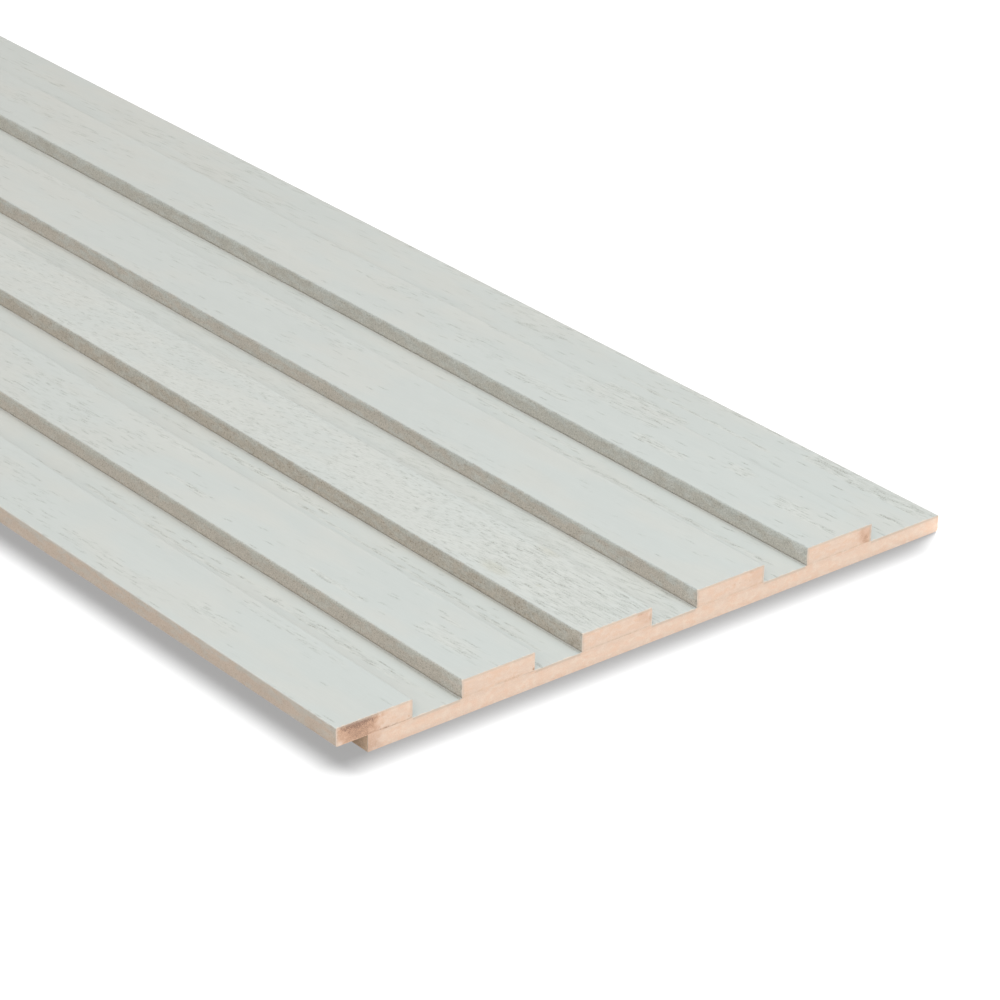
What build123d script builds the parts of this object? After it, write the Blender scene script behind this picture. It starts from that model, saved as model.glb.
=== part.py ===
from build123d import *
import os

# Wood wall panel with raised slats. A thin base board carries the slats, glued along it.
# The first slat hangs over one long edge of the base, and the base runs on past the last
# slat as a tongue. The next panel's hanging slat covers that tongue and keeps the pitch.
# X runs across the panel, Y along it, and Z from the back up through the face.
# The origin is under the middle of the panel, on its back. Sizes are in millimetres.

# Panel
panel_length = 2400.0
slat_count = 5
slat_pitch = 48.0

# Slats
slat_width = 29.0
slat_thickness = 6.5
slat_arris_radius = 0.4   # top long edges, rubbed down before painting
slat_foot_chamfer = 0.3   # bottom long edges, which leave a fine line at the glue seam

# Base board and its two long edges
base_thickness = 6.0
lap_overhang = 12.0       # how far the first slat reaches past the base
lap_clearance = 0.5       # gap left between a tongue and its neighbour's shoulder
tongue_arris_radius = 0.4
tongue_lead_in = 0.5      # bottom edge of the tongue, so that it slides into place

# Places across the panel, worked out from the sizes above
groove_width = slat_pitch - slat_width
tongue_width = groove_width + lap_overhang + lap_clearance
slats_across = (slat_count - 1) * slat_pitch + slat_width
panel_width = slats_across + tongue_width
lap_edge = -panel_width / 2
shoulder_edge = lap_edge + lap_overhang
tongue_edge = panel_width / 2


def cross_section(left, right, bottom, top):
    # A plain rectangle across the panel, with its corners still square.
    with BuildSketch(Plane.XZ) as section:
        with Locations((left, bottom)):
            Rectangle(right - left, top - bottom, align=(Align.MIN, Align.MIN))
    return section.sketch


def corners(section, highest):
    # The two corners at the top or at the bottom of a section, from left to right.
    level = section.vertices().group_by(Axis.Z)[-1 if highest else 0]
    return level.sort_by(Axis.X)


def full_length(section, name):
    # The section run to both cut ends of the panel.
    piece = extrude(section, amount=panel_length / 2, both=True)
    piece.label = name
    return piece


def make_base_board():
    section = cross_section(shoulder_edge, tongue_edge, 0, base_thickness)
    section = fillet(corners(section, highest=True)[-1], radius=tongue_arris_radius)
    section = chamfer(corners(section, highest=False)[-1], length=tongue_lead_in)
    return full_length(section, "base_board")


def make_slat(number):
    left = lap_edge + (number - 1) * slat_pitch
    section = cross_section(left, left + slat_width, base_thickness, base_thickness + slat_thickness)
    section = fillet(corners(section, highest=True), radius=slat_arris_radius)
    section = chamfer(corners(section, highest=False), length=slat_foot_chamfer)
    name = "lap_slat" if number == 1 else f"slat_{number}"
    return full_length(section, name)


pieces = [make_base_board()]
for number in range(1, slat_count + 1):
    pieces.append(make_slat(number))

os.makedirs("parts", exist_ok=True)
for piece in pieces:
    export_step(piece, f"parts/{piece.label}.step")
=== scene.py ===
import math
import bpy
import numpy as np
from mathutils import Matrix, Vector
from mathutils.geometry import delaunay_2d_cdt


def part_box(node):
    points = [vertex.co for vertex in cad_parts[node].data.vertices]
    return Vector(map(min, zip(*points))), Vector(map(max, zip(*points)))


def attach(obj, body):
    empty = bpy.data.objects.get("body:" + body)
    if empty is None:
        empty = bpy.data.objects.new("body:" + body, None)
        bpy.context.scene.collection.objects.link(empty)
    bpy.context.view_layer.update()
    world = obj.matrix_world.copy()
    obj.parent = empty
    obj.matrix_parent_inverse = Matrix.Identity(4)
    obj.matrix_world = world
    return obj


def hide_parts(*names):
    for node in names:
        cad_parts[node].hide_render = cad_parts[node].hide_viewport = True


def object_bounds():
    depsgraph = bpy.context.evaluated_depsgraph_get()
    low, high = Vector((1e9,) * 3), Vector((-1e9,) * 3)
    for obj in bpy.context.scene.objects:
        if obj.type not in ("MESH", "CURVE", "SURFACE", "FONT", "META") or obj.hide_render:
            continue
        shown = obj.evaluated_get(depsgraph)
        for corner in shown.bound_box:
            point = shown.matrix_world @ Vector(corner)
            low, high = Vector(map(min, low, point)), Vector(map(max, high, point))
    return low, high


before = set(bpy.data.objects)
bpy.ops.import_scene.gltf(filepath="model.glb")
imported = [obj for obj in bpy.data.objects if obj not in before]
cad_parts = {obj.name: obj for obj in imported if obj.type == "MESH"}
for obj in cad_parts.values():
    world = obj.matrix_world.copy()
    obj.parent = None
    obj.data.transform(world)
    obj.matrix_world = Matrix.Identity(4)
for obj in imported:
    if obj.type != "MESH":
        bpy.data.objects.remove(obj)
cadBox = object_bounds()
mm = 0.001
print("frame loaded")

# The panel lies along y, with the cut end in view at its start.
panelStart = cadBox[0].y
panelEnd = cadBox[1].y


# Noise

latticeSize = 256
lattice = np.random.default_rng(11).random((latticeSize, latticeSize))


def smoothNoise(u, v, seed=0):  # 0 to 1, one random value for each whole step of u and v
    u = np.asarray(u, float) + 17.3 * seed
    v = np.asarray(v, float) + 29.7 * seed
    u0 = np.floor(u).astype(int)
    v0 = np.floor(v).astype(int)
    fu = u - u0
    fv = v - v0
    fu = fu * fu * (3 - 2 * fu)
    fv = fv * fv * (3 - 2 * fv)
    u0, v0, u1, v1 = (n % latticeSize for n in (u0, v0, u0 + 1, v0 + 1))
    low = lattice[u0, v0] * (1 - fu) + lattice[u1, v0] * fu
    high = lattice[u0, v1] * (1 - fu) + lattice[u1, v1] * fu
    return low * (1 - fv) + high * fv


def layeredNoise(u, v, seed=0, layers=3):
    total = 0
    weight = 0
    for layer in range(layers):
        share = 0.5 ** layer
        total = total + share * smoothNoise(u * 2 ** layer, v * 2 ** layer, seed + 5 * layer)
        weight += share
    return total / weight


def softStep(low, high, value):
    t = np.clip((value - low) / (high - low), 0, 1)
    return t * t * (3 - 2 * t)


# Stations along the panel, close together at either cut end and wider apart away from the one in view

cutStations = np.array([0, 0.12, 0.3, 0.6, 1.0, 1.6])   # mm from a cut end


def makeStations(plan):
    # Each entry of the plan is how far it reaches from the cut end in view and its step, in mm.
    length = (panelEnd - panelStart) / mm
    cuts = cutStations
    parts = [cuts]
    reached = cuts[-1]
    for reach, step in plan:
        reach = min(reach, length - cuts[-1])
        count = int(round((reach - reached) / step))
        parts.append(np.linspace(reached, reach, count + 1)[1:])
        reached = reach
    parts[-1] = parts[-1][:-1]
    parts.append(length - cuts[::-1])
    return panelStart + np.concatenate(parts) * mm


# Outlines across the panel. Points run anticlockwise as seen from the cut end in view.

def straightRun(start, end, count):
    steps = np.arange(count)[:, None] / count
    return np.array(start) + steps * (np.array(end) - np.array(start))


def cornerRun(centre, radius, fromDegrees, count):
    angles = np.radians(fromDegrees + 90 * np.arange(count) / count)
    return np.array(centre) + radius * np.stack([np.cos(angles), np.sin(angles)], axis=1)


def unitRows(vectors):
    return vectors / np.linalg.norm(vectors, axis=1)[:, None]


def joinRuns(runs):   # each run is the name of its zone and its points
    points = np.concatenate([points for name, points in runs])
    zones = np.concatenate([[name] * len(points) for name, points in runs])
    before = points - np.roll(points, 1, axis=0)
    after = np.roll(points, -1, axis=0) - points
    along = unitRows(before) + unitRows(after)
    inward = unitRows(np.stack([-along[:, 1], along[:, 0]], axis=1))
    return {"points": points, "zones": zones, "inward": inward}


slatShape = {
    "arris": 0.4 * mm,
    "foot": 0.3 * mm,
    "footLine": 0.3 * mm,      # row for the dark line just above the foot, a dark joint deepened with painted shade
    "faceColumn": 0.46 * mm,   # spacing of the mesh across the face
    "sideRows": 6,
    "arrisRows": 3,
    "stations": [(300, 1.0), (620, 2.0), (2400, 5.5)],
}


def slatOutline(low, high):
    shape = slatShape
    arris, foot, line = shape["arris"], shape["foot"], shape["footLine"]
    left, right, bottom, top = low.x, high.x, low.z, high.z
    columns = int((right - left - 2 * arris) / shape["faceColumn"])
    rows = shape["sideRows"]
    return joinRuns([
        ("back", straightRun((left + foot, bottom), (right - foot, bottom), 3)),
        ("foot", straightRun((right - foot, bottom), (right, bottom + foot), 1)),
        ("side", straightRun((right, bottom + foot), (right, bottom + foot + line), 1)),
        ("side", straightRun((right, bottom + foot + line), (right, top - arris), rows)),
        ("arris", cornerRun((right - arris, top - arris), arris, 0, shape["arrisRows"])),
        ("face", straightRun((right - arris, top), (left + arris, top), columns)),
        ("leftArris", cornerRun((left + arris, top - arris), arris, 90, shape["arrisRows"])),
        ("side", straightRun((left, top - arris), (left, bottom + foot + line), rows)),
        ("side", straightRun((left, bottom + foot + line), (left, bottom + foot), 1)),
        ("foot", straightRun((left, bottom + foot), (left + foot, bottom), 1)),
    ])


baseShape = {
    "arris": 0.4 * mm,
    "leadIn": 0.5 * mm,
    "faceColumn": 0.5 * mm,
    "edgeRows": 4,
    "stations": [(240, 1.6), (620, 3.8), (2400, 24.0)],
}


def baseOutline(low, high, slatBoxes):
    shape = baseShape
    arris, leadIn = shape["arris"], shape["leadIn"]
    left, right, bottom, top = low.x, high.x, low.z, high.z
    runs = [
        ("back", straightRun((left, bottom), (right - leadIn, bottom), 12)),
        ("edge", straightRun((right - leadIn, bottom), (right, bottom + leadIn), 1)),
        ("edge", straightRun((right, bottom + leadIn), (right, top - arris), shape["edgeRows"])),
        ("arris", cornerRun((right - arris, top - arris), arris, 0, 3)),
    ]
    reached = right - arris
    for slatLow, slatHigh in reversed(slatBoxes):
        grooveColumns = int((reached - slatHigh.x) / shape["faceColumn"])
        runs.append(("face", straightRun((reached, top), (slatHigh.x, top), grooveColumns)))
        reached = max(slatLow.x, left)
        runs.append(("hidden", straightRun((slatHigh.x, top), (reached, top), 1)))
        if reached == left:
            break
    runs.append(("edge", straightRun((left, top), (left, bottom), shape["edgeRows"])))
    return joinRuns(runs)


# Figure of the veneer: short open pores, most of them in bands. Lengths are in mm, across from the
# face's left edge and along from the cut end in view. A band is written as
# (across, half its width, start, end, how dense), a tilt as (along, slope of the grain there) and a
# smudge as (across, along, half width, half length, strength).

plainFigure = {
    "perSquareMm": 0.9,
    "plain": 0.01,           # share of the pores kept outside the bands
    "scattered": 0.3,        # and in loose patches beyond the drawn part
    "drawnTo": 190,
    "tilt": [(0, 0.02), (200, 0.05)],
    "length": (1.6, 6.5),
    "shorter": [(0, 1.0)],   # (along, factor on the length of the pores)
    "strength": [(0, 0.9), (60, 0.9), (200, 0.65)],   # (along, factor on their depth)
    "depth": 0.10 * mm,      # of the deepest pore
    "waves": 0.02 * mm,      # and of the waves and fibres of the grain
    "fibres": 0.01 * mm,
    "marks": [],             # single pores, written as (across, along, half length, strength)
    "smudges": [],
    "foot": 0.0,             # how dark the painted shade is in the corner at the foot of the next slat
    "footWidth": 0.5,
    "footFades": 60,         # and how far along that painted shade gets weaker
}


def byDistance(along, table):
    return np.interp(along, *zip(*table))


def grainDrift(along, figure):  # how far the grain has moved across by each place along the panel
    steps = np.arange(0, 2500.0, 5.0)
    return np.interp(along, steps, np.cumsum(-byDistance(steps, figure["tilt"])) * 5.0)


def bandDensity(across, along, figure):
    seed = figure["seed"]
    wander = 1.6 * (smoothNoise(along / 45, 0 * along, seed + 3) - 0.5)
    beyond = softStep(figure["drawnTo"] - 15, figure["drawnTo"] + 15, along)
    scattered = layeredNoise((across + 3 * wander) / 5, along / 70, seed, 2)
    density = figure["plain"] + figure["scattered"] * softStep(0.5, 0.75, scattered) * beyond
    for middle, half, start, end, dense in figure["bands"]:
        off = np.abs(across - middle - 0.5 * wander) / half
        inside = softStep(start - 2, start + 4, along) * (1 - softStep(end - 4, end + 2, along))
        density = np.maximum(density, dense * inside * (1 - softStep(0.6, 1.3, off)))
    return density


def scatterPores(width, length, figure):  # a row each: across, along, half length, strength
    rng = np.random.default_rng(figure["seed"])
    count = int(width * length * figure["perSquareMm"])
    across = rng.uniform(0, width, count)
    along = rng.uniform(0, length, count)
    half = rng.uniform(*figure["length"], count) / 2 * byDistance(along, figure["shorter"])
    strength = (0.16 + 0.84 * rng.random(count) ** 3.2) * byDistance(along, figure["strength"])
    keep = rng.random(count) < bandDensity(across, along, figure)
    pores = np.stack([across, along, half, strength], axis=1)[keep]
    return np.concatenate([pores, np.array(figure["marks"]).reshape(-1, 4)])


def cutPores(across, along, figure):  # how deep each point of the face lies in a pore, 0 to 1
    middleX, middleY, half, strength = scatterPores(across.max(), along.max(), figure).T
    first = np.searchsorted(along, middleY - half)
    last = np.maximum(np.searchsorted(along, middleY + half), first + 1)
    reach = last - first
    pore = np.repeat(np.arange(len(middleX)), reach)
    row = first[pore] + np.arange(len(pore)) - np.repeat(np.cumsum(reach) - reach, reach)
    pore, row = pore[row < len(along)], row[row < len(along)]
    x = middleX[pore] + grainDrift(along[row], figure) - grainDrift(middleY[pore], figure)
    order = np.argsort(across)
    column = order[np.clip(np.searchsorted(across[order], x), 0, len(across) - 1)]
    taper = np.clip(1.15 - np.abs((along[row] - middleY[pore]) / half[pore]) ** 3, 0.2, 1)
    pores = np.zeros((len(along), len(across)))
    np.maximum.at(pores, (row, column), strength[pore] * taper)
    return pores


def smudgesOn(across, along, figure):
    total = np.zeros(np.broadcast(across, along).shape)
    for middle, reached, wide, tall, strength in figure["smudges"]:
        away = np.hypot((across - middle) / wide, (along - reached) / tall)
        total = np.maximum(total, strength * (1 - softStep(0.3, 1.2, away)))
    return total


def dressFace(mesh, columns, figure):
    # Relief and grain of one painted face, which takes up these columns of the mesh.
    figure = {**plainFigure, **figure}
    seed = figure["seed"]
    across = (mesh["points"][columns, 0] - mesh["points"][columns, 0].min()) / mm
    along = (mesh["stations"] - panelStart) / mm
    pores = cutPores(across, along, figure)
    across, along = across[None, :], along[:, None]
    drift = grainDrift(along, figure) + 1.2 * smoothNoise(along / 80, across / 40, seed)
    waves = layeredNoise((across - drift) / 4, along / 45, seed + 9, 2)
    fibres = smoothNoise((across - drift) / 0.9, along / 14, seed + 21)
    # Painted shade: darker towards the corner at the foot of the next slat, most near the cut end. It
    # goes into the pore mark.
    corner = np.exp(-((across.max() - across) / figure["footWidth"]) ** 2)
    corner = corner * (0.2 + 0.8 * np.exp(-along / figure["footFades"]))
    relief = figure["waves"] * waves + figure["fibres"] * fibres + figure["depth"] * pores
    mesh["relief"][:, columns] = relief
    mesh["pore"][:, columns] = np.maximum(pores, figure["foot"] * corner)
    strength = byDistance(along, figure["strength"])
    mesh["porous"][:, columns] = bandDensity(across, along, figure) * strength
    mesh["smudge"][:, columns] = smudgesOn(across, along, figure)
    mesh["grain"][:, columns, 0] = across - drift
    mesh["grain"][:, columns, 1] = along
    mesh["grain"][:, columns, 2] = 7.0 * (seed % 100)


sawnSides = {
    "streaks": 0.04 * mm,   # depth of the shallow streaks
    "pits": 0.11 * mm,      # and of the small pits
    "pitsFade": 9.0,        # mm from the cut end over which the pits get fewer
    "footLine": 0.4,        # mm up from the foot that its dark line, a joint deepened with painted shade, reaches
}


def dressSides(mesh, columns, seed, footLine=0.0):
    sawn = sawnSides
    along = (mesh["stations"][:, None] - panelStart) / mm
    height = mesh["points"][None, columns, 1] / mm
    streaks = layeredNoise(height * 1.1, along / 18, seed + 40, 3)
    pits = softStep(0.66, 0.86, smoothNoise(height * 1.3, along / 1.6, seed + 41))
    nearCut = 0.35 + 0.65 * np.exp(-along / sawn["pitsFade"])
    uneven = 0.7 + 0.6 * smoothNoise(along / 6, 0 * height, seed + 42)
    # The dark line at the foot is partly a dark joint with the base board and partly painted shade.
    atFoot = footLine * uneven * (height < height.min() + sawn["footLine"])
    mesh["relief"][:, columns] = sawn["streaks"] * streaks + sawn["pits"] * pits * nearCut
    mesh["pore"][:, columns] = np.maximum(pits * nearCut, atFoot)


# Meshes: an outline run through all stations, closed by a finely divided face at either cut end.

chipping = {
    "least": 0.06,    # mm of paint lost along a saw cut
    "more": 0.5,      # and how much more where it chipped
    "rubbed": 0.3,    # share of raw wood colour on the right top edges, a painted highlight that lightens them
}


def startMesh(outline, plan, seed):
    mesh = dict(outline)
    mesh["stations"] = makeStations(plan)
    size = (len(mesh["stations"]), len(outline["points"]))
    for key in ("relief", "pore", "porous", "smudge"):
        mesh[key] = np.zeros(size)
    mesh["grain"] = np.zeros((*size, 3))
    steps = np.linalg.norm(np.diff(outline["points"], axis=0, prepend=outline["points"][:1]), axis=1)
    around = np.cumsum(steps)[None, :] / mm
    toCut = np.minimum(mesh["stations"] - panelStart, panelEnd - mesh["stations"])[:, None] / mm
    ragged = smoothNoise(around / 0.8, 0 * around, seed + 60)
    chipped = chipping["least"] + chipping["more"] * softStep(0.5, 0.95, ragged)
    mesh["chipAndHighlight"] = 1 - softStep(0.5 * chipped, 1.2 * chipped, toCut)
    # Painted highlight: the right top edges are blended towards raw wood, which lightens them, as they
    # face away from the lamps.
    mesh["chipAndHighlight"][:, outline["zones"] == "arris"] = chipping["rubbed"]
    return mesh


cutEnd = {
    "firstRow": 0.35 * mm,   # of the grid of points, up from the foot
    "clear": 0.28 * mm,      # least distance of a point from the outline
    "corner": 0.9 * mm,      # and from its eased corners, across and up together
    "sawMarks": 0.06 * mm,   # their depth
}


def insidePoints(ring, spacing):   # a staggered grid inside the outline
    low, high = ring.min(axis=0), ring.max(axis=0)
    across = np.arange(low[0], high[0], spacing)
    up = np.arange(low[1] + cutEnd["firstRow"], high[1], spacing)
    x, z = np.meshgrid(across, up)
    x[1::2] += spacing / 2
    grid = np.stack([x.ravel(), z.ravel()], axis=1)
    clear = np.minimum(grid - low, high - grid)
    return grid[(clear.min(axis=1) > cutEnd["clear"]) & (clear.sum(axis=1) > cutEnd["corner"])]


def buildMesh(name, mesh, endMarks):
    points, inward, stations, relief = (mesh[key] for key in ("points", "inward", "stations", "relief"))
    rows, columns = relief.shape
    body = np.zeros((rows, columns, 3))
    body[:, :, 0] = points[:, 0] + relief * inward[:, 0]
    body[:, :, 1] = stations[:, None]
    body[:, :, 2] = points[:, 1] + relief * inward[:, 1]
    here = np.arange(rows - 1)[:, None] * columns + np.arange(columns)
    beside = np.arange(rows - 1)[:, None] * columns + (np.arange(columns) + 1) % columns
    faces = np.stack([here, here + columns, beside + columns, beside], axis=-1).reshape(-1, 4).tolist()
    zones = np.tile(mesh["zones"], rows - 1).tolist()
    places = [body.reshape(-1, 3)]
    pointCount = rows * columns

    for row, outward in ((0, -1), (rows - 1, 1)):
        ring = body[row][:, [0, 2]]
        inside = insidePoints(ring, endMarks["spacing"])
        flat = np.concatenate([ring, inside])
        edges = [(n, (n + 1) % columns) for n in range(columns)]
        cut = delaunay_2d_cdt([Vector(p) for p in flat.tolist()], edges, [], 1, 1e-7)
        names = np.concatenate([row * columns + np.arange(columns), pointCount + np.arange(len(inside))])
        names = names[[origin[0] for origin in cut[3]]]
        for corners in cut[2]:
            corners = names[corners].tolist()
            faces.append(corners if outward < 0 else corners[::-1])
            zones.append("end")
        marks = layeredNoise(inside[:, 0] / mm / 0.9, inside[:, 1] / mm / 5, endMarks["seed"], 3)
        sawn = cutEnd["sawMarks"] * marks
        places.append(np.stack([inside[:, 0], stations[row] - outward * sawn, inside[:, 1]], axis=1))
        pointCount += len(inside)

    places = np.concatenate(places)
    built = bpy.data.meshes.new(name)
    built.from_pydata(places.tolist(), [], faces)
    onEnds = pointCount - rows * columns
    for key in ("pore", "porous", "smudge", "chipAndHighlight"):
        storeMark(built, key, "FLOAT", "value", np.concatenate([mesh[key].ravel(), np.zeros(onEnds)]))
    grain = np.concatenate([mesh["grain"].reshape(-1, 3), np.zeros((onEnds, 3))])
    storeMark(built, "grain", "FLOAT_VECTOR", "vector", grain)
    for key in ("rim", "underEdge", "seam", "glue", "stain"):
        storeMark(built, key, "FLOAT", "value", endMarks[key](places[:, 0], places[:, 2]))
    return built, zones


def storeMark(mesh, key, kind, member, values):
    mesh.attributes.new(key, kind, "POINT").data.foreach_set(member, values.astype(np.float32).ravel())


sharpEdge = 38   # degrees


def addPiece(mesh, zones, materials, node):  # materials gives one for each zone of the outline
    names = list(dict.fromkeys(materials.values()))
    for name in names:
        mesh.materials.append(bpy.data.materials[name])
    index = [names.index(materials[zone]) for zone in zones]
    mesh.polygons.foreach_set("material_index", index)
    mesh.polygons.foreach_set("use_smooth", [True] * len(index))
    mesh.set_sharp_from_angle(angle=math.radians(sharpEdge))
    mesh.update()
    piece = bpy.data.objects.new(mesh.name, mesh)
    bpy.context.scene.collection.objects.link(piece)
    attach(piece, "root")
    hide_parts(node)
    return piece


# Materials

def startMaterial(name):
    material = bpy.data.materials.new(name)
    material.use_nodes = True
    return material.node_tree, material.node_tree.nodes["Principled BSDF"]


def setSocket(tree, socket, value):
    if isinstance(value, bpy.types.NodeSocket):
        tree.links.new(value, socket)
    elif socket.type == "RGBA":
        socket.default_value = (*value, 1)
    else:
        socket.default_value = value


def addNode(tree, kind, inputs=(), **settings):
    node = tree.nodes.new("ShaderNode" + kind)
    for key, value in settings.items():
        setattr(node, key, value)
    for key, value in dict(inputs).items():
        setSocket(tree, node.inputs[key], value)
    return node


def inMm(tree, stretch):  # the piece's own coordinates in mm, scaled by stretch
    own = addNode(tree, "TexCoord").outputs["Object"]
    return addNode(tree, "Mapping", {"Vector": own, "Scale": [s / mm for s in stretch]}).outputs["Vector"]


def alongGrain(tree, stretch):  # the same, but following the figure of the face
    grain = addNode(tree, "Attribute", attribute_name="grain").outputs["Vector"]
    return addNode(tree, "Mapping", {"Vector": grain, "Scale": stretch}).outputs["Vector"]


def noise(tree, place, detail=2.0, roughness=0.5):
    inputs = {"Vector": place, "Scale": 1.0, "Detail": detail, "Roughness": roughness}
    return addNode(tree, "TexNoise", inputs).outputs["Fac"]


def mark(tree, name):
    return addNode(tree, "Attribute", attribute_name=name).outputs["Fac"]


def calculate(tree, operation, a, b=0.0, clamp=False):
    node = addNode(tree, "Math", {0: a, 1: b}, operation=operation, use_clamp=clamp)
    return node.outputs[0]


def remap(tree, value, low, high, newLow=0.0, newHigh=1.0):
    inputs = {"Value": value, "From Min": low, "From Max": high, "To Min": newLow, "To Max": newHigh}
    return addNode(tree, "MapRange", inputs, interpolation_type="SMOOTHSTEP").outputs["Result"]


def blendColours(tree, share, first, second):
    return addNode(tree, "Mix", {0: share, 6: first, 7: second}, data_type="RGBA").outputs[2]


def shade(tree, colour, amount):  # colour times a brightness
    return addNode(tree, "VectorMath", {0: colour, "Scale": amount}, operation="SCALE").outputs[0]


def addBump(tree, shader, height, distance, strength=1.0):
    bump = addNode(tree, "Bump", {"Height": height, "Distance": distance, "Strength": strength})
    tree.links.new(bump.outputs["Normal"], shader.inputs["Normal"])


rawWood = (0.58, 0.48, 0.39)   # where the paint has chipped off, and on the right top edges as a painted highlight

faceFinish = {
    "paint": (0.440, 0.433, 0.397),
    "warmPaint": (0.452, 0.434, 0.392),
    "inPore": (0.285, 0.272, 0.235),
    "smudge": (0.395, 0.350, 0.255),
    "roughness": 0.58,
    "poreRoughness": 0.85,
    "bump": 0.05 * mm,
    # How often each noise repeats in a mm, across and along the grain and from face to face.
    "streaks": (1.7, 0.07, 1.0),
    "hairlines": (2.9, 0.24, 1.0),
    "tone": (0.10, 0.012, 1.0),
    "warmth": (0.07, 0.025, 1.3),
    "crisp": (3.4, 1.3, 1.0),
}


def makeFaceMaterial():
    finish = faceFinish
    tree, shader = startMaterial("paintedFace")
    streaks = noise(tree, alongGrain(tree, finish["streaks"]), 3.0, 0.6)
    hairlines = noise(tree, alongGrain(tree, finish["hairlines"]), 1.0)
    tone = noise(tree, alongGrain(tree, finish["tone"]), 2.0)
    warmth = noise(tree, alongGrain(tree, finish["warmth"]), 2.0)
    crisp = noise(tree, alongGrain(tree, finish["crisp"]), 2.0)
    porous = mark(tree, "porous")

    # warmer and a little brighter where the grain is open
    warm = calculate(tree, "ADD", remap(tree, warmth, 0.4, 0.65), remap(tree, porous, 0.1, 0.5, 0.0, 0.6),
                     clamp=True)
    paint = blendColours(tree, warm, finish["paint"], finish["warmPaint"])
    brightness = calculate(tree, "ADD", remap(tree, streaks, 0.3, 0.7, 0.988, 1.012),
                           remap(tree, tone, 0.3, 0.7, -0.010, 0.012))
    brightness = calculate(tree, "ADD", brightness, remap(tree, porous, 0.1, 0.5, 0.0, 0.05))

    # smudges, then the cut pores, with the painted shade at the foot of the next slat, and the hairlines
    # between them
    smudge = calculate(tree, "MULTIPLY", mark(tree, "smudge"), remap(tree, crisp, 0.35, 0.6, 0.35, 1.0))
    paint = blendColours(tree, smudge, shade(tree, paint, brightness), finish["smudge"])
    pore = calculate(tree, "MULTIPLY", mark(tree, "pore"), remap(tree, crisp, 0.38, 0.62, 0.35, 1.45))
    showing = remap(tree, porous, 0.1, 0.6, 0.03, 0.42)
    thin = calculate(tree, "MULTIPLY", remap(tree, hairlines, 0.54, 0.68), showing)
    dark = calculate(tree, "MAXIMUM", pore, thin, clamp=True)
    paint = blendColours(tree, dark, paint, finish["inPore"])
    tree.links.new(blendColours(tree, mark(tree, "chipAndHighlight"), paint, rawWood), shader.inputs["Base Color"])
    roughness = remap(tree, dark, 0, 1, finish["roughness"], finish["poreRoughness"])
    tree.links.new(roughness, shader.inputs["Roughness"])
    height = calculate(tree, "SUBTRACT", calculate(tree, "MULTIPLY", streaks, 0.4), dark)
    addBump(tree, shader, height, finish["bump"], 0.6)


# Sides are thinly painted, more so towards the foot, where the wood shows through.

sideFinishes = {
    "lap_slat": {
        "painted": (0.378, 0.345, 0.296),
        "thin": (0.402, 0.326, 0.260),
        "speck": (0.335, 0.265, 0.208),
        "speckled": 0.06,
    },
    "slat_2": {
        "painted": (0.470, 0.458, 0.408),
        "thin": (0.470, 0.426, 0.366),
        "speck": (0.320, 0.280, 0.228),
        "speckled": 0.16,
    },
    "slat_3": {
        "painted": (0.450, 0.436, 0.388),
        "thin": (0.430, 0.386, 0.324),
        "speck": (0.295, 0.252, 0.200),
        "speckled": 0.16,
    },
    "slat_4": {
        "painted": (0.472, 0.470, 0.430),
        "thin": (0.460, 0.418, 0.360),
        "speck": (0.315, 0.280, 0.230),
        "speckled": 0.16,
    },
    "slat_5": {
        "painted": (0.474, 0.474, 0.434),
        "thin": (0.446, 0.424, 0.372),
        "speck": (0.315, 0.290, 0.245),
        "speckled": 0.16,
    },
    "raw": {   # the base board's long edges and all the backs, with no paint
        "painted": (0.49, 0.36, 0.255),
        "thin": (0.51, 0.36, 0.245),
        "speck": (0.38, 0.26, 0.17),
        "speckled": 0.10,
    },
}


sideTexture = {
    "painted": (9.6, 12.3),      # mm above the back between which the paint gets thicker
    "dullEdge": (12.05, 12.5),   # and between which painted shade darkens it towards the top edge
    "roughness": 0.75,
    "bump": 0.10 * mm,
    # How often each noise repeats in a mm, across, along and up.
    "speckle": (2.2, 1.7, 2.2),
    "grit": (2.1, 1.4, 2.1),
    "patches": (0.2, 0.07, 0.35),
    "hue": (0.3, 0.14, 0.4),
}


def makeSideMaterial(name):
    finish = sideFinishes[name]
    texture = sideTexture
    tree, shader = startMaterial(name + "Side")
    speckle = noise(tree, inMm(tree, texture["speckle"]), 2.0, 0.7)
    grit = noise(tree, inMm(tree, texture["grit"]), 1.0)
    patches = noise(tree, inMm(tree, texture["patches"]), 2.0)
    hue = noise(tree, inMm(tree, texture["hue"]), 2.0)
    height = addNode(tree, "SeparateXYZ", {0: inMm(tree, (1, 1, 1))}).outputs["Z"]
    mottled = remap(tree, hue, 0.35, 0.65, -0.6, 0.7)
    upper = calculate(tree, "ADD", remap(tree, height, *texture["painted"]), mottled, clamp=True)
    colour = blendColours(tree, upper, finish["thin"], finish["painted"])
    rough = remap(tree, upper, 0.0, 1.0, 0.9, 0.45)
    rough = calculate(tree, "MULTIPLY", remap(tree, grit, 0.56, 0.70), rough)
    colour = blendColours(tree, rough, colour, finish["speck"])
    pits = calculate(tree, "MULTIPLY", mark(tree, "pore"), 0.6)
    colour = blendColours(tree, pits, colour, finish["speck"])
    light = calculate(tree, "ADD", remap(tree, patches, 0.3, 0.7, 0.975, 1.025),
                      remap(tree, speckle, 0.3, 0.7, -finish["speckled"], finish["speckled"]))
    # Painted shade: the paint gets darker over the left top edge, which would otherwise catch more light.
    dullEdge = remap(tree, height, *texture["dullEdge"], 1.0, 0.76)
    light = calculate(tree, "MULTIPLY", light, dullEdge)
    colour = shade(tree, colour, light)
    tree.links.new(blendColours(tree, mark(tree, "chipAndHighlight"), colour, rawWood), shader.inputs["Base Color"])
    shader.inputs["Roughness"].default_value = texture["roughness"]
    addBump(tree, shader, speckle, texture["bump"], 0.5)


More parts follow.
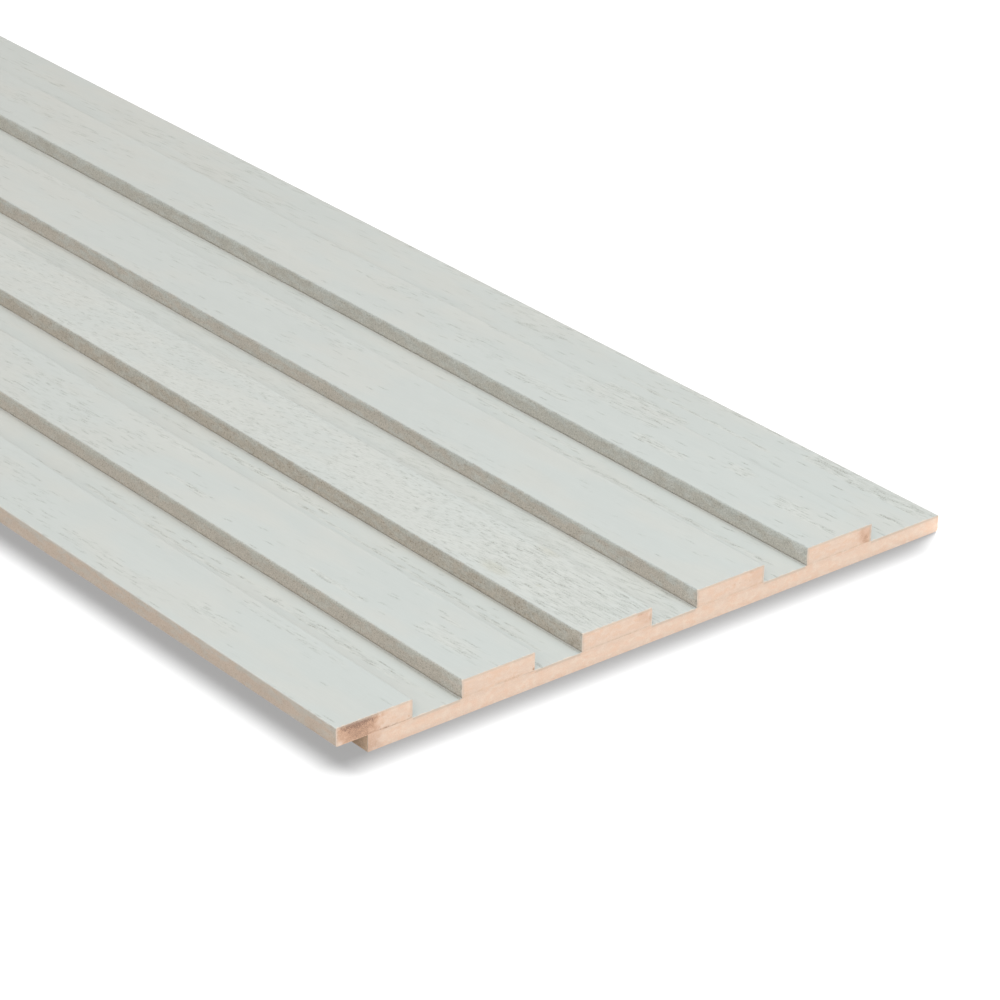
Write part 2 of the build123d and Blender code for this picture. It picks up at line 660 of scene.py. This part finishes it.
endFinish = {
    "wood": (0.600, 0.442, 0.342),
    "warmWood": (0.612, 0.420, 0.308),
    "paleWood": (0.632, 0.492, 0.392),
    "paintEdge": (0.540, 0.445, 0.370),
    "underEdge": (0.430, 0.345, 0.275),
    "glueLine": (0.30, 0.19, 0.13),
    "orangeStain": (0.540, 0.350, 0.250),
    "lightStain": (0.435, 0.262, 0.172),
    "darkStain": (0.235, 0.138, 0.096),
    "paler": (1.7, 7.0),   # mm above the back between which the painted light that brightens the cut end near the floor fades out
    "roughness": 0.85,
    "bump": 0.12 * mm,
    # How often each noise repeats in a mm, across, along and up.
    "fine": (2.6, 2.6, 2.6),
    "broad": (0.16, 0.5, 0.4),
    "cloudy": (0.35, 0.3, 0.6),
    "brokenLine": (0.8, 0.1, 0.1),
}


def makeEndMaterial():
    finish = endFinish
    tree, shader = startMaterial("sawnEnd")
    fine = noise(tree, inMm(tree, finish["fine"]), 3.0, 0.6)
    broad = noise(tree, inMm(tree, finish["broad"]), 2.0)
    cloudy = noise(tree, inMm(tree, finish["cloudy"]), 3.0, 0.6)
    dashes = noise(tree, inMm(tree, finish["brokenLine"]), 3.0, 0.6)
    rim, seam, glue = (mark(tree, key) for key in ("rim", "seam", "glue"))
    height = addNode(tree, "SeparateXYZ", {0: inMm(tree, (1, 1, 1))}).outputs["Z"]
    # Painted light: the cut end is made brighter towards the back, where the floor shades it.
    brightness = calculate(tree, "MULTIPLY", remap(tree, fine, 0.3, 0.7, 0.955, 1.045),
                           remap(tree, height, *finish["paler"], 1.13, 0.98))
    wood = blendColours(tree, remap(tree, broad, 0.35, 0.65), finish["wood"], finish["warmWood"])
    wood = blendColours(tree, remap(tree, cloudy, 0.42, 0.68, 0.0, 0.8), wood, finish["paleWood"])
    wood = shade(tree, wood, brightness)
    uneven = remap(tree, fine, 0.35, 0.65, 0.7, 1.3)
    stain = calculate(tree, "MULTIPLY", mark(tree, "stain"), uneven, clamp=True)   # orange, then brown
    wood = blendColours(tree, remap(tree, stain, 0.0, 0.3), wood, finish["orangeStain"])
    wood = blendColours(tree, remap(tree, stain, 0.2, 0.6), wood, finish["lightStain"])
    wood = blendColours(tree, remap(tree, stain, 0.5, 1.0), wood, finish["darkStain"])

    # glue lines, the shade under the paint, and the paint's own edge
    broken = remap(tree, dashes, 0.35, 0.6, 0.45, 1.2)
    lines = calculate(tree, "MULTIPLY", remap(tree, seam, 0.8, 0.1), glue)
    lines = calculate(tree, "MULTIPLY", lines, broken, clamp=True)
    wood = blendColours(tree, lines, wood, finish["glueLine"])
    underEdge = calculate(tree, "MULTIPLY", remap(tree, rim, 1.2, 0.4), mark(tree, "underEdge"))
    wood = blendColours(tree, underEdge, wood, finish["underEdge"])
    ragged = calculate(tree, "ADD", rim, remap(tree, fine, 0.3, 0.7, -0.16, 0.16))
    colour = blendColours(tree, remap(tree, ragged, 0.34, 0.12), wood, finish["paintEdge"])
    tree.links.new(colour, shader.inputs["Base Color"])
    shader.inputs["Roughness"].default_value = finish["roughness"]
    addBump(tree, shader, fine, finish["bump"], 0.6)


makeFaceMaterial()
for name in sideFinishes:
    makeSideMaterial(name)
makeEndMaterial()
print("materials made")


# Cut ends, in mm from a piece's own left edge and foot. Glue lines are written as
# (from, to, strength), and stains as (across, up, half width, half height, strength).

def lineStrength(x, runs):
    total = np.zeros(np.shape(x))
    for start, end, strength in runs:
        inside = softStep(start - 0.3, start + 0.3, x) * (1 - softStep(end - 0.3, end + 0.3, x))
        total = np.maximum(total, strength * inside)
    return total


def stains(x, z, blots, seed):
    total = np.zeros(np.shape(x))
    ragged = 0.7 * (layeredNoise(x / 1.3, z / 0.9, seed, 3) - 0.5)
    for across, up, wide, tall, strength in blots:
        away = np.hypot((x - across) / wide, (z - up) / tall)
        total = total + strength * (1 - softStep(0.3, 1.25, away + ragged))
    return np.clip(total, 0, 1)


def endMarks(low, details, rim, seam):
    # What each point of a cut end holds. rim and seam are its distances in mm to the paint's edge
    # and to the glue line.
    seed = details["seed"]

    def glue(x, z):
        return lineStrength((x - low.x) / mm, details["seam"])

    def underEdge(x, z):
        return lineStrength((x - low.x) / mm, details["underPaint"])

    def stain(x, z):
        return stains((x - low.x) / mm, (z - low.z) / mm, details["stains"], seed)

    return {"rim": rim, "underEdge": underEdge, "seam": seam, "glue": glue, "stain": stain,
            "spacing": details["spacing"], "seed": seed}


farAway = 9.0   # mm, for points that no paint edge or glue line is near


slatNodes = ["lap_slat", "slat_2", "slat_3", "slat_4", "slat_5"]
slatBoxes = [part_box(node) for node in slatNodes]

slatDetails = {
    "lap_slat": {
        "figure": {"seed": 101, "drawnTo": 185, "tilt": [(0, 0.0), (150, 0.05)],
                   "strength": [(0, 0.68), (200, 0.6)],
                   "bands": [(24, 1.8, 25, 82, 0.40), (10.5, 3.2, 68, 92, 0.5),
                             (5.5, 3.4, 95, 190, 0.30)]},
        "underPaint": [(0, 8, 0.4), (8, 17, 0.7), (17, 29, 0.4)],
        "seam": [(12.1, 15.6, 0.6), (15.8, 17.2, 0.9), (17.6, 20.6, 1.0), (21, 22.2, 0.3),
                 (22.4, 23.4, 0.8), (26.5, 27.5, 0.3), (27.9, 28.8, 0.8)],
        "stains": [(8.4, 4.3, 9.0, 7.4, 0.66), (9.0, 6.2, 8.0, 2.2, 0.45), (5.0, 4.0, 1.0, 2.2, 0.12),
                   (14.0, 0.0, 8.0, 2.0, 0.08), (27.6, 1.1, 0.6, 0.6, 0.3)],
    },
    "slat_2": {
        "figure": {"seed": 102, "tilt": [(0, 0.03), (200, 0.06)],
                   "strength": [(0, 0.72), (60, 0.85), (200, 0.65)],
                   "bands": [(12, 4.2, 8, 38, 0.45), (20, 1.0, 25, 36, 0.7), (6, 1.2, 58, 88, 0.75),
                             (27, 1.4, 42, 62, 0.45), (9, 1.1, 146, 172, 0.6), (24, 1.2, 168, 195, 0.6)]},
        "underPaint": [(0, 20, 0.45), (20, 28, 0.65)],
        "seamRise": 0.25,
        "seam": [(1, 8, 0.1), (13.2, 15.2, 0.28), (15.5, 24.5, 0.22)],
        "stains": [(28.7, 0.8, 0.6, 0.6, 0.9), (4.0, 2.0, 7.0, 4.0, 0.06)],
    },
    "slat_3": {
        "figure": {"seed": 103, "plain": 0.42, "drawnTo": 0,
                   "tilt": [(0, 0.0), (40, 0.02), (90, 0.15), (200, 0.17)],
                   "shorter": [(0, 1.1), (50, 1.0), (75, 0.5)],
                   "strength": [(0, 0.82), (60, 0.82), (200, 0.66), (400, 0.6)],
                   "bands": [(14, 13, 0, 150, 0.62)],
                   "smudges": [(5.5, 51, 3.5, 8, 0.5), (26.5, 49, 2.5, 6, 0.35), (9, 33, 1.0, 1.2, 0.5)]},
        "underPaint": [(0, 20, 0.45), (20, 28.5, 0.65)],
        "seam": [(1, 14, 0.22), (14, 22, 0.3), (22, 27, 0.26)],
        "stains": [(25.6, 4.6, 3.0, 2.8, 0.20), (24.0, 5.7, 1.4, 0.6, 0.20), (28.4, 3.4, 0.6, 1.4, 0.25),
                   (27.2, 1.6, 1.4, 1.2, 0.12)],
    },
    "slat_4": {
        "figure": {"seed": 104, "scattered": 0.2, "drawnTo": 200, "tilt": [(0, 0.05)],
                   "strength": [(0, 0.75), (200, 0.6)],
                   "bands": [(3.5, 2.5, 100, 150, 0.15), (20, 2, 20, 32, 0.15)]},
        "underPaint": [(0, 29, 0.55)],
        "seam": [(0.5, 8, 0.22), (8, 29, 0.16)],
        "stains": [(23.3, 5.7, 1.2, 0.7, 0.22), (26.0, 3.6, 3.8, 4.6, 0.15), (16.2, 3.4, 0.5, 0.4, 0.25),
                   (18.4, 3.2, 0.5, 0.4, 0.25), (20.8, 3.4, 0.5, 0.4, 0.22), (22.8, 2.6, 0.4, 0.4, 0.22)],
    },
    "slat_5": {
        "figure": {"seed": 105, "plain": 0.02, "drawnTo": 175, "tilt": [(0, 0.02), (200, 0.06)],
                   "bands": [(20, 2.6, 48, 62, 0.6), (15, 3.6, 16, 34, 0.5), (13, 1.0, 2, 20, 0.7),
                             (10.5, 2.2, 72, 100, 0.6), (23, 6.0, 96, 150, 0.4),
                             (9.5, 3.0, 131, 168, 0.4)]},
        "underPaint": [(0, 22, 0.5), (22, 28.8, 0.85)],
        "seam": [(1, 28, 0.22)],
        "stains": [(26.2, 3.8, 3.8, 5.0, 0.24), (26.4, 1.3, 1.7, 2.6, 0.30), (24.6, 4.4, 1.2, 2.2, 0.14),
                   (28.4, 4.0, 0.7, 2.4, 0.12)],
    },
}


def slatEnd(low, high, details):
    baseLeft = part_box("base_board")[0].x
    details = {"spacing": 0.36 * mm, "seed": details["figure"]["seed"], **details}

    def rim(x, z):
        return np.minimum(high.z - z, np.minimum(x - low.x, high.x - x)) / mm

    def seam(x, z):
        rise = np.abs((z - low.z) / mm - details.get("seamRise", 0.0))
        return np.where(x > baseLeft, rise, farAway)

    return endMarks(low, details, rim, seam)


def makeSlat(node, details):
    low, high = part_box(node)
    seed = details["figure"]["seed"]
    mesh = startMesh(slatOutline(low, high), slatShape["stations"], seed)
    onLap = node == "lap_slat"   # its outer side has no dark line at the foot
    sides = np.isin(mesh["zones"], ["side", "leftArris", "arris", "foot"])
    dressSides(mesh, sides, seed, 0.0 if onLap else 1.0)
    dressFace(mesh, mesh["zones"] == "face", details["figure"])
    built, zones = buildMesh(node + "_dressed", mesh, slatEnd(low, high, details))
    side = node + "Side"
    # The inner slats' left top edge takes the side's darker paint as painted shade. On the lap slat, the
    # left edge and foot take the paler face paint, which lightens the foot chamfer as painted light.
    leftEdges = "paintedFace" if onLap else side
    materials = {
        "face": "paintedFace",
        "arris": "paintedFace",
        "leftArris": leftEdges,
        "side": side,
        "foot": leftEdges,
        "back": "rawSide",
        "end": "sawnEnd",
    }
    return addPiece(built, zones, materials, node)


baseDetails = {
    # One figure for each groove floor, from the lap side, and the last for the tongue. Their foot sets
    # the painted shade in the corner by the next slat.
    "figures": [
        {"seed": 201, "foot": 1.0, "tilt": [(0, 0.05)],
         "bands": [(2.5, 1.8, 43, 68, 0.6), (10.0, 1.0, 20, 94, 0.5), (8.5, 0.8, 106, 190, 0.9),
                   (12, 0.8, 5, 190, 0.35)]},
        {"seed": 202, "foot": 0.75, "drawnTo": 185, "tilt": [(0, 0.02)],
         "strength": [(0, 0.95), (150, 0.9), (300, 0.65)],
         "marks": [(2.6, 2.6, 1.5, 1.0), (2.2, 1.0, 1.4, 1.0)],
         "bands": [(9.0, 0.6, 8, 138, 1.6), (13, 1.4, 122, 190, 0.8), (12, 0.5, 20, 100, 0.4)],
         # a brown, darker strip along the foot of the next slat
         "smudges": [(18.3, 60, 1.0, 34, 0.5)]},
        {"seed": 203, "foot": 0.8, "plain": 0.35, "drawnTo": 0, "tilt": [(0, 0.04), (60, 0.12)],
         "strength": [(0, 0.8), (45, 0.6), (200, 0.42)],
         "bands": [(7, 6.5, 12, 260, 0.45)]},
        {"seed": 204, "foot": 0.6, "tilt": [(0, 0.04)],
         "bands": [(9.5, 0.9, 10, 128, 1.0), (14, 1.4, 108, 190, 0.45)]},
        {"seed": 205, "plain": 0.03, "drawnTo": 185, "tilt": [(0, 0.02), (200, 0.05)],
         "bands": [(27, 3.6, 0, 60, 0.9), (29.5, 1.4, 60, 400, 0.5), (17.8, 0.7, 70, 148, 1.2),
                   (8.8, 3.4, 102, 148, 0.6), (15, 1.0, 0, 12, 0.6), (4.5, 4.0, 58, 78, 0.35)],
         "marks": [(15.5, 9.0, 4.0, 0.9), (16.0, 7.5, 3.0, 0.9)]},
    ],
    "underPaint": [(-1, 250, 0.6)],   # all across
    "seam": [],
    "stains": [(0.0, 4.0, 6.5, 6.5, 0.24)],
    "spacing": 0.5 * mm,
    "seed": 206,
    "edgeSeed": 200,
}


def baseEnd(low, high, grooves):
    def rim(x, z):
        inGroove = np.any([(x > left) & (x < right) for left, right in grooves], axis=0)
        return np.where(inGroove, (high.z - z) / mm, farAway)

    def seam(x, z):
        return np.full(np.shape(x), farAway)

    return endMarks(low, baseDetails, rim, seam)


def makeBase():
    low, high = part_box("base_board")
    seed = baseDetails["edgeSeed"]
    mesh = startMesh(baseOutline(low, high, slatBoxes), baseShape["stations"], seed)
    x = mesh["points"][:, 0]
    dressSides(mesh, mesh["zones"] == "edge", seed)
    lefts = [slatHigh.x for slatLow, slatHigh in slatBoxes]
    rights = [slatLow.x for slatLow, slatHigh in slatBoxes[1:]] + [high.x]
    for left, right, figure in zip(lefts, rights, baseDetails["figures"]):
        dressFace(mesh, (mesh["zones"] == "face") & (x > left - 1e-6) & (x < right), figure)
    built, zones = buildMesh("base_board_dressed", mesh, baseEnd(low, high, list(zip(lefts, rights))))
    materials = {
        "face": "paintedFace",
        "arris": "paintedFace",
        "hidden": "paintedFace",   # under the slats
        "edge": "rawSide",
        "back": "rawSide",
        "end": "sawnEnd",
    }
    return addPiece(built, zones, materials, "base_board")


pieces = {"base_board": makeBase()}
print("base board made")
for node in slatNodes:
    pieces[node] = makeSlat(node, slatDetails[node])
    print(node, "made with", len(pieces[node].data.vertices), "points")


# Floor, light and camera

stageSetting = {
    "floorReach": 30.0,
    "floorGap": 0.05 * mm,              # keeps the floor clear of the panel's back
    "floorColour": (0.09, 0.09, 0.09),  # dark, so that it throws little of floorLight back at the panel
    "floorGlow": 0.37,                  # and its glow keeps it pale, in the shadow too
    "skyStrength": 0.43,
}

# floorLight lights the floor alone, and the other lamps light the panel alone.
lamps = {
    # a cool softbox over the cut end, which leaves the far part a little darker
    "softbox": {
        "place": (0.10, -1.62, 1.15),
        "aim": (0, -1.2, 0),
        "size": 0.9,
        "power": 9.8,
        "colour": (0.56, 0.766, 0.903),
    },
    # wide light from nearly straight above, which reaches down into the grooves
    "overhead": {
        "place": (0.30, 0.10, 1.0),
        "aim": (0, 0, 0),
        "angle": 35,
        "power": 0.48,
        "colour": (1, 1, 1),
    },
    # wide light from the lap side and the front, for the left sides of the slats and the cut end
    "fill": {
        "place": (-0.6, -0.8, 1.0),
        "aim": (0, 0, 0),
        "angle": 60,
        "power": 2.75,
        "colour": (1, 1, 1),
    },
    # a large sheet far off to the right, facing down, for the soft shadow that the base board
    # casts along the lap and the cut end
    "floorLight": {
        "place": (26.7, 10.6, 8.0),
        "turned": 35,
        "size": 21.7,
        "depth": 21.0,
        "power": 9.3e5,
        "colour": (1, 1, 1),
    },
}


def makeFloor():
    reach = stageSetting["floorReach"]
    mesh = bpy.data.meshes.new("floor")
    corners = [(-reach, -reach, 0), (reach, -reach, 0), (reach, reach, 0), (-reach, reach, 0)]
    mesh.from_pydata(corners, [], [(0, 1, 2, 3)])
    floor = bpy.data.objects.new("floor", mesh)
    bpy.context.scene.collection.objects.link(floor)
    floor.location.z = -stageSetting["floorGap"]
    tree, shader = startMaterial("paleFloor")
    shader.inputs["Base Color"].default_value = (*stageSetting["floorColour"], 1)
    shader.inputs["Roughness"].default_value = 0.9
    shader.inputs["Specular IOR Level"].default_value = 0.0
    shader.inputs["Emission Color"].default_value = (1, 1, 1, 1)
    shader.inputs["Emission Strength"].default_value = stageSetting["floorGlow"]
    mesh.materials.append(bpy.data.materials["paleFloor"])
    return floor


def makeSky():
    world = bpy.data.worlds.new("studio")
    bpy.context.scene.world = world
    world.use_nodes = True
    sky = world.node_tree.nodes["Background"]
    sky.inputs["Color"].default_value = (1, 1, 1, 1)
    sky.inputs["Strength"].default_value = stageSetting["skyStrength"]


def makeLamp(name):
    setting = lamps[name]
    light = bpy.data.lights.new(name, "SUN" if "angle" in setting else "AREA")
    light.energy = setting["power"]
    light.color = setting["colour"]
    lamp = bpy.data.objects.new(name, light)
    lamp.location = setting["place"]
    if "angle" in setting:
        light.angle = math.radians(setting["angle"])
    else:
        light.shape = "RECTANGLE" if "depth" in setting else "DISK"
        light.size = setting["size"]
        light.size_y = setting.get("depth", setting["size"])
    if "aim" in setting:
        lamp.rotation_mode = "QUATERNION"
        aim = Vector(setting["aim"]) - lamp.location
        lamp.rotation_quaternion = aim.to_track_quat("-Z", "Y")
    else:
        lamp.rotation_euler.z = math.radians(setting["turned"])
    bpy.context.scene.collection.objects.link(lamp)
    return lamp


def linkLight(lamp, lit, casters):  # which objects it lights, and which ones cast its shadow
    for role, members in (("receiver", lit), ("blocker", casters)):
        group = bpy.data.collections.new(lamp.name + role.title())
        for member in members:
            group.objects.link(member)
        setattr(lamp.light_linking, role + "_collection", group)


viewpoint = {   # found from the panel's own straight edges
    "place": (-736.13 * mm, -2007.72 * mm, 599.63 * mm),
    "turned": (63.2263, -1.0650, -39.1981),   # degrees about x, y and z
    "lens": 141.4,
    "sensor": 36.0,
    "near": 0.01,
    "far": 200,
}


def makeCamera():
    camera = bpy.data.cameras.new("camera")
    camera.lens = viewpoint["lens"]
    camera.sensor_width = viewpoint["sensor"]
    camera.clip_start = viewpoint["near"]
    camera.clip_end = viewpoint["far"]
    view = bpy.data.objects.new("camera", camera)
    view.location = viewpoint["place"]
    view.rotation_euler = [math.radians(angle) for angle in viewpoint["turned"]]
    bpy.context.scene.collection.objects.link(view)
    bpy.context.scene.camera = view


floor = makeFloor()
makeSky()
for name in lamps:
    lamp = makeLamp(name)
    if name == "floorLight":
        linkLight(lamp, [floor], [pieces["base_board"]])   # the slats would scallop its shadow
    else:
        linkLight(lamp, pieces.values(), pieces.values())
makeCamera()
bpy.context.scene.view_settings.view_transform = "Standard"
print("stage set")
